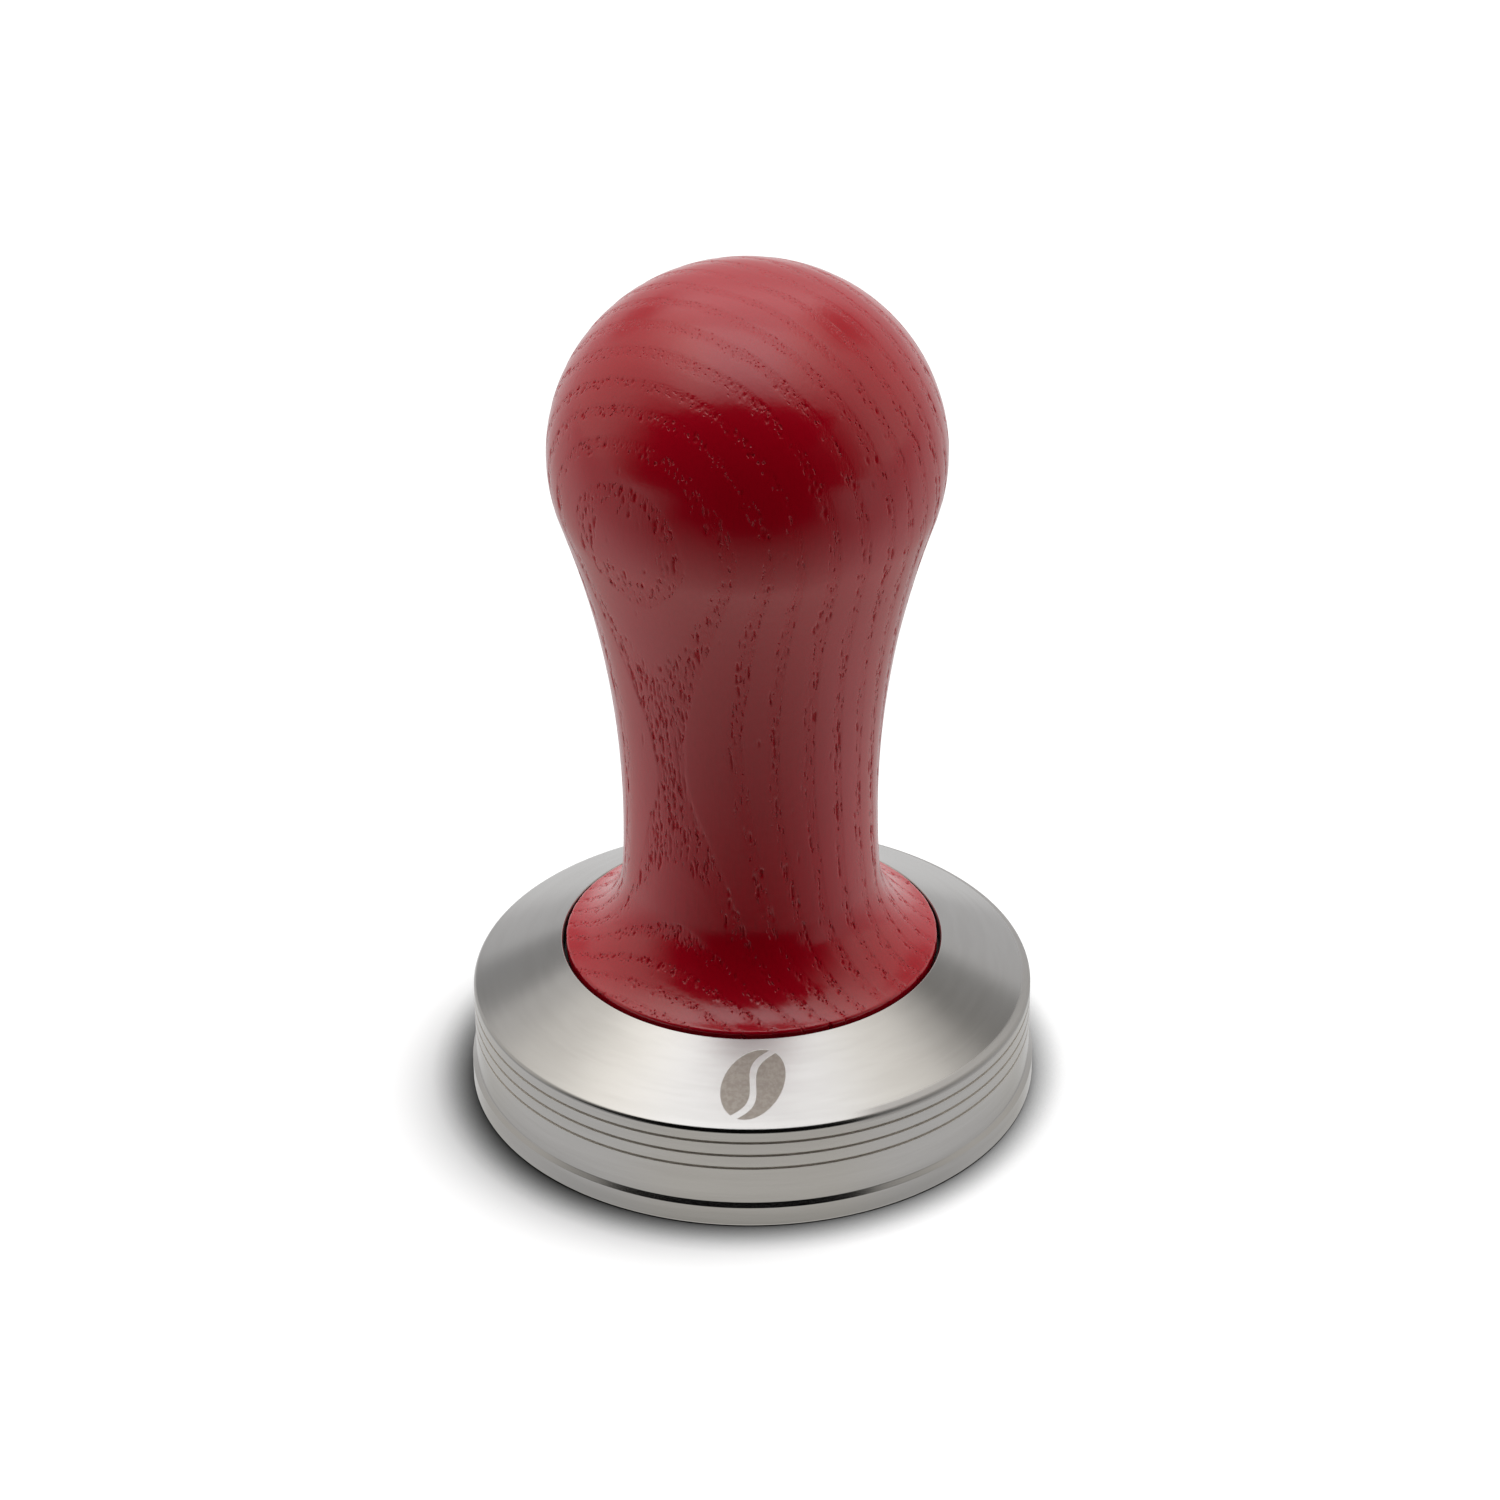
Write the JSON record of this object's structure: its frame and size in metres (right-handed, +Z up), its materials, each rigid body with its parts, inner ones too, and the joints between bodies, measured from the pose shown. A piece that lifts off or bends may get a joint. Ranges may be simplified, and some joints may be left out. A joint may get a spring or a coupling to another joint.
{
  "type": "espresso tamper",
  "caption": "Espresso tamper: a turned wooden knob handle that screws onto a flat steel tamping base with a sloped top and side grooves.",
  "frame": {"origin": "centre of the flat tamping face", "axes": "+Z up the turning axis towards the knob; -Y is the front, where the small etched bean sits on the cone; +X is to the right seen from the front"},
  "size_m": [0.058, 0.058, 0.089],
  "materials": {
    "painted_ash": "satin red paint over open-pore ash",
    "brass": "machined",
    "black_rubber": "matt",
    "stud_steel": "machined",
    "turned_steel": "fine circular brushing"
  },
  "bodies": {
    "tamping_base": {"base": "turned_steel", "stud": "stud_steel"},
    "washer": {"seat_washer": "black_rubber"},
    "grip": {"handle": "painted_ash", "threaded_insert": "brass"}
  },
  "joints": [
    {"name": "handle_lift", "type": "slide", "parent": "tamping_base", "child": "washer", "axis": [0, 0, 1], "range_m": [0, 0.0125]},
    {"name": "handle_turn", "type": "hinge", "parent": "washer", "child": "grip", "pos_m": [0, 0, 0.0145], "axis": [0, 0, 1], "range_deg": [0, 3600]}
  ],
  "couplings": [
    {"joint": "handle_lift", "follows": "handle_turn", "m_per_rad": 0.00019894}
  ]
}
